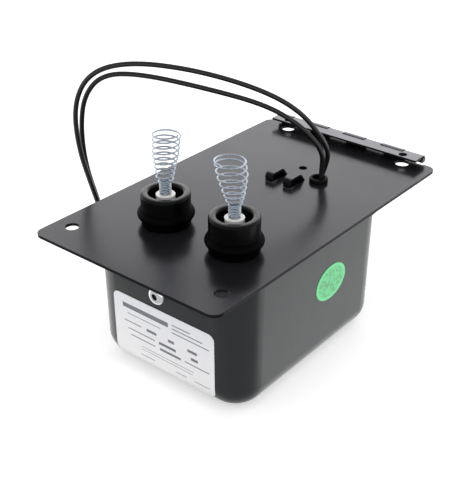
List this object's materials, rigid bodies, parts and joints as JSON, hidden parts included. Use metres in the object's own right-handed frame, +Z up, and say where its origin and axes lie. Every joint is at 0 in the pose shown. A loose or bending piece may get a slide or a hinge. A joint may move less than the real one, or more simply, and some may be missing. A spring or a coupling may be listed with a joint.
{
  "type": "ignition transformer",
  "caption": "Oil-burner ignition transformer: black drawn can under a hinged base plate, with high-voltage bushings, contact springs and loose supply leads.",
  "frame": {"origin": "under the middle of the object's outline, without its free leads, on the surface that the can's bottom stands on", "axes": "+Z up from the can's bottom through the base plate, +Y from the front edge of the plate to the hinge, +X to the right seen from the front"},
  "size_m": [0.1418, 0.1902, 0.1399],
  "materials": {
    "plate_paint": "black baked enamel, semi-gloss",
    "can_paint": "black baked enamel, semi-gloss",
    "leaf_paint": "black baked enamel, semi-gloss",
    "pin_steel": "painted over with the hinge",
    "asphalt": "poured and dull",
    "core_steel": "stacked sheet edges, varnished",
    "rivet_steel": "plain",
    "bobbin_board": "pressed board",
    "primary_copper": "enamelled wire",
    "secondary_copper": "fine enamelled wire in layers",
    "bare_copper": "bright stranded wire",
    "tinned_strap": "tinned",
    "zinc_plate": "bright zinc plate",
    "stud_steel": "nickel plate",
    "spring_steel": "bright drawn wire",
    "porcelain": "white glaze",
    "collar_black": "moulded, satin",
    "gasket_rubber": "satin black",
    "grommet_rubber": "satin black",
    "lead_jacket": "satin black",
    "label_paper": "bare white",
    "sticker_green": "pale green"
  },
  "bodies": {
    "transformer": {"base_plate": "plate_paint", "can": "can_paint", "hinge_pin": "pin_steel", "potting_compound": "asphalt", "core_e_stack": "core_steel", "core_i_stack": "core_steel", "magnetic_shunts": "core_steel", "core_rivets": "rivet_steel", "primary_bobbin": "bobbin_board", "secondary_bobbin_left": "bobbin_board", "secondary_bobbin_right": "bobbin_board", "primary_coil": "primary_copper", "secondary_coil_left": "secondary_copper", "secondary_coil_right": "secondary_copper", "hv_lead_left": "bare_copper", "hv_lead_right": "bare_copper", "lead_end_upper": "bare_copper", "lead_end_lower": "bare_copper", "ground_strap": "tinned_strap", "ground_screw": "zinc_plate", "ground_nut": "zinc_plate", "terminal_stud_left": "stud_steel", "terminal_stud_right": "stud_steel", "contact_spring_left": "spring_steel", "contact_spring_right": "spring_steel", "porcelain_tube_left": "porcelain", "porcelain_tube_right": "porcelain", "bushing_collar_left": "collar_black", "bushing_collar_right": "collar_black", "bushing_gasket_left": "gasket_rubber", "bushing_gasket_right": "gasket_rubber", "lead_grommet": "grommet_rubber", "supply_lead_upper": "lead_jacket", "supply_lead_lower": "lead_jacket", "inner_lead_upper": "lead_jacket", "inner_lead_lower": "lead_jacket", "label": "label_paper", "side_sticker": "sticker_green"},
    "leaf": {"hinge_leaf": "leaf_paint"}
  },
  "joints": [
    {"name": "leaf_hinge", "type": "hinge", "parent": "transformer", "child": "leaf", "pos_m": [0, 0.09265, 0.07505], "axis": [-1, 0, 0], "range_deg": [-24, 180]}
  ]
}
